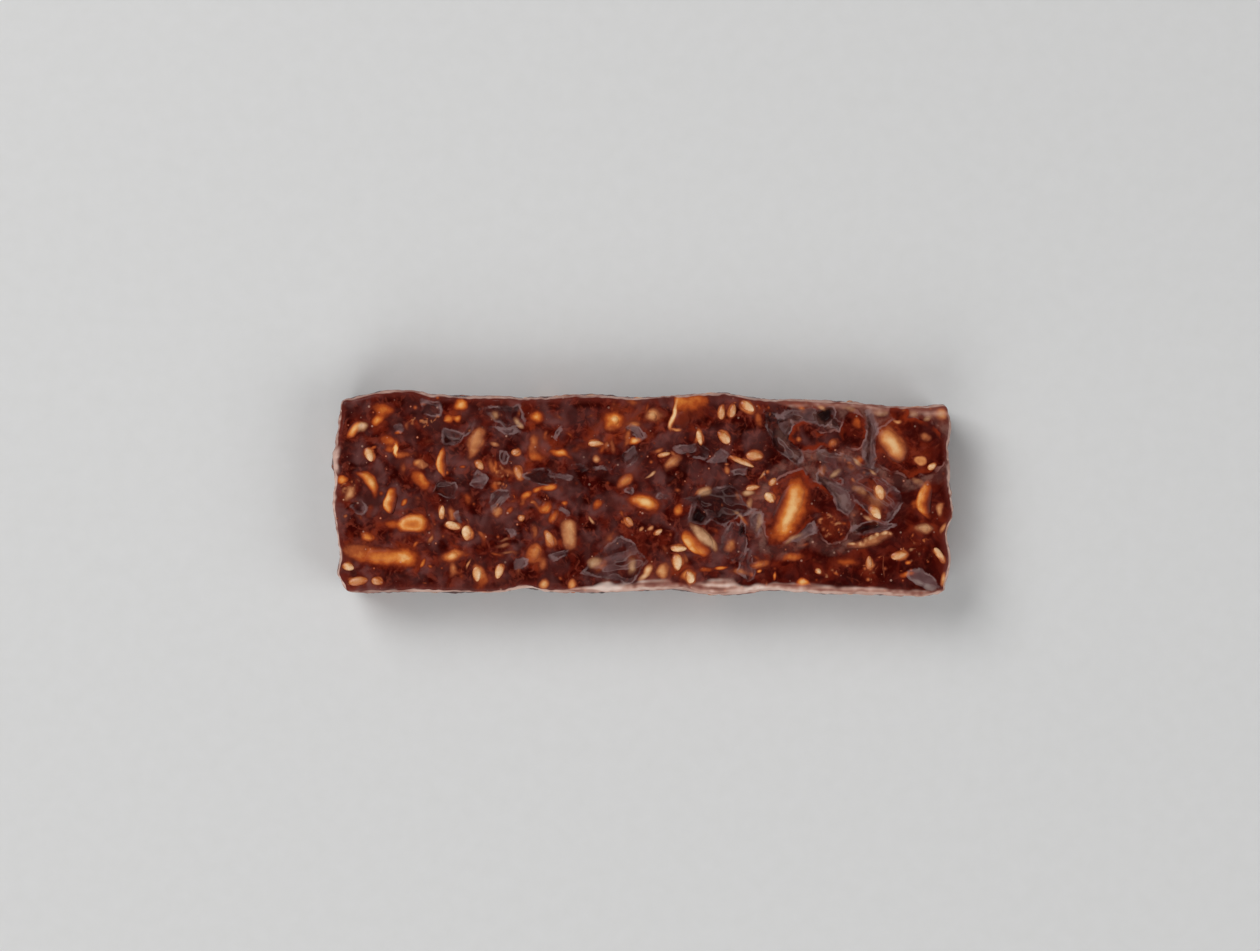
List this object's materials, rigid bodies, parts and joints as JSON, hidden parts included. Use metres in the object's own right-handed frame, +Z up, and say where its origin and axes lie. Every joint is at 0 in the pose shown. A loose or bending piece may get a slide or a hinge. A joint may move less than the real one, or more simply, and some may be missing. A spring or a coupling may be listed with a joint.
{
  "type": "chocolate bar",
  "caption": "Pressed dark chocolate and fruit paste bar with nut pieces and sesame seeds showing in its uneven, glossy top; lies flat on its underside.",
  "frame": {"origin": "middle of the underside", "axes": "+X along the bar, +Y across it, +Z up"},
  "size_m": [0.11, 0.037, 0.0121],
  "materials": {
    "paste": "gloss",
    "nut": "satin"
  },
  "bodies": {
    "root": {"bar": "paste", "nut_centre": "nut", "nut_right": "nut", "nut_oval": "nut", "nut_long": "nut", "nut_chunk": "nut", "nut_split": "nut", "nut_middle": "nut", "nut_crescent": "nut", "nut_upright": "nut", "nut_olive": "nut", "nut_block": "nut", "nut_rim": "nut", "nut_drop": "nut", "nut_corner": "nut", "nut_flake": "nut"}
  },
  "joints": []
}
